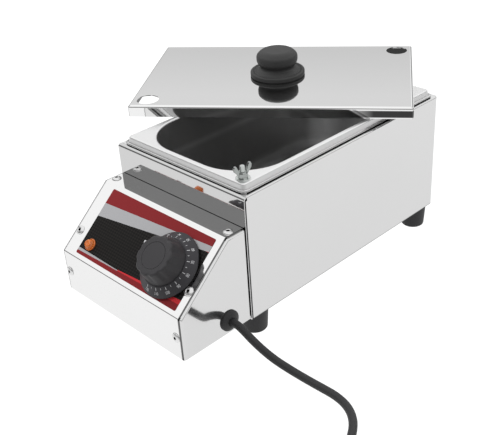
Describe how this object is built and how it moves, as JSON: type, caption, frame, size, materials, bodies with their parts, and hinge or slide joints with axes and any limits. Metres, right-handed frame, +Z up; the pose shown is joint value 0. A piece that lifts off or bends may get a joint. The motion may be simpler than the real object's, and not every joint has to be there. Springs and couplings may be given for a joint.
{
  "type": "chocolate melter",
  "caption": "Small countertop chocolate melter: stainless water bath with a lift-out pan, loose lid with a black knob, thermostat dial, pilot lamp and power cord.",
  "frame": {"origin": "on the table, under the middle of the box round the melter with its askew lid and without the free cord", "axes": "+X to the melter's right seen from its controls, +Y to its back, +Z up"},
  "size_m": [0.494, 0.5544, 0.201],
  "materials": {
    "stainless": "mirror-polished stainless steel sheet",
    "satin_stainless": "plain stainless steel sheet",
    "zinc_steel": "bright zinc-plated steel",
    "cast_zinc": "plated casting",
    "heater_sheath": "oxidised metal sheath",
    "brass": "machined",
    "seal": "silicone rubber",
    "copper": "drawn copper",
    "rivet_alloy": "plain aluminium alloy",
    "label": "printed plastic film, black with red bands",
    "orange_lens": "orange polycarbonate lens",
    "white_plastic": "moulded",
    "thermostat_housing": "phenolic moulding",
    "dial_plastic": "moulded, with light marks",
    "knob_plastic": "moulded",
    "lid_knob_plastic": "moulded phenolic plastic",
    "black_rubber": "moulded",
    "cord_rubber": "cord sheath"
  },
  "bodies": {
    "melter_body": {"side_rear_wrap": "stainless", "front_wall": "stainless", "base_plate": "stainless", "water_tank": "satin_stainless", "pan_studs": "zinc_steel", "heater_element": "heater_sheath", "heater_bushings": "brass", "heater_gaskets": "seal", "heater_nuts": "brass", "bulb_bridges": "satin_stainless", "sensor_bulb": "copper", "capillary_gland": "brass", "capillary": "copper", "left_side_plate": "stainless", "right_side_plate": "stainless", "front_cover": "stainless", "cover_rivets": "rivet_alloy", "label_plate": "label", "pilot_lamp_lens": "orange_lens", "pilot_lamp_body": "white_plastic", "control_box_base": "satin_stainless", "terminal_block": "white_plastic", "earth_stud": "brass", "thermostat_body": "thermostat_housing", "thermostat_screws": "zinc_steel", "foot_screws": "zinc_steel", "cord_bushing": "black_rubber", "foot_front_left": "black_rubber", "foot_rear_left": "black_rubber", "foot_front_right": "black_rubber", "foot_rear_right": "black_rubber", "power_cord": "cord_rubber", "cord_coil": "cord_rubber", "cord_tail": "cord_rubber", "plug_body": "black_rubber", "plug_pins": "brass"},
    "thermostat_knob": {"knob_skirt": "dial_plastic", "knob_grip": "knob_plastic", "knob_cap": "knob_plastic", "thermostat_shaft": "zinc_steel"},
    "pan_unit": {"pan": "stainless", "flat_washers": "zinc_steel"},
    "lid": {"lid_sheet": "stainless", "lid_knob": "lid_knob_plastic", "lid_knob_washer": "zinc_steel", "lid_knob_screw": "zinc_steel"},
    "front_lock_washer": {"lock_washer_front": "zinc_steel"},
    "front_wing_nut": {"wing_nut_front": "cast_zinc"},
    "rear_lock_washer": {"lock_washer_rear": "zinc_steel"},
    "rear_wing_nut": {"wing_nut_rear": "cast_zinc"}
  },
  "joints": [
    {"name": "thermostat_turn", "type": "hinge", "parent": "melter_body", "child": "thermostat_knob", "pos_m": [0.10151, -0.1866, 0.09312], "axis": [0, -0.6554, 0.7553], "range_deg": [0, 270]},
    {"name": "pan_lift", "type": "slide", "parent": "melter_body", "child": "pan_unit", "axis": [0, 0, 1], "range_m": [0, 0.13]},
    {"name": "lid_lift", "type": "slide", "parent": "pan_unit", "child": "lid", "axis": [0, 0, 1], "range_m": [0, 0.12]},
    {"name": "front_nut_rise", "type": "slide", "parent": "pan_unit", "child": "front_lock_washer", "axis": [0, 0, 1], "range_m": [0, 0.012]},
    {"name": "front_nut_turn", "type": "hinge", "parent": "front_lock_washer", "child": "front_wing_nut", "pos_m": [0.12611, -0.1161, 0.1595], "axis": [0, 0, 1], "range_deg": [0, 5401]},
    {"name": "rear_nut_rise", "type": "slide", "parent": "pan_unit", "child": "rear_lock_washer", "axis": [0, 0, 1], "range_m": [0, 0.0016]},
    {"name": "rear_nut_turn", "type": "hinge", "parent": "rear_lock_washer", "child": "rear_wing_nut", "pos_m": [-0.01649, 0.1393, 0.1595], "axis": [0, 0, 1], "range_deg": [0, 721]}
  ],
  "couplings": [
    {"joint": "front_nut_turn", "follows": "front_nut_rise", "rad_per_m": 7854},
    {"joint": "rear_nut_turn", "follows": "rear_nut_rise", "rad_per_m": 7854}
  ]
}
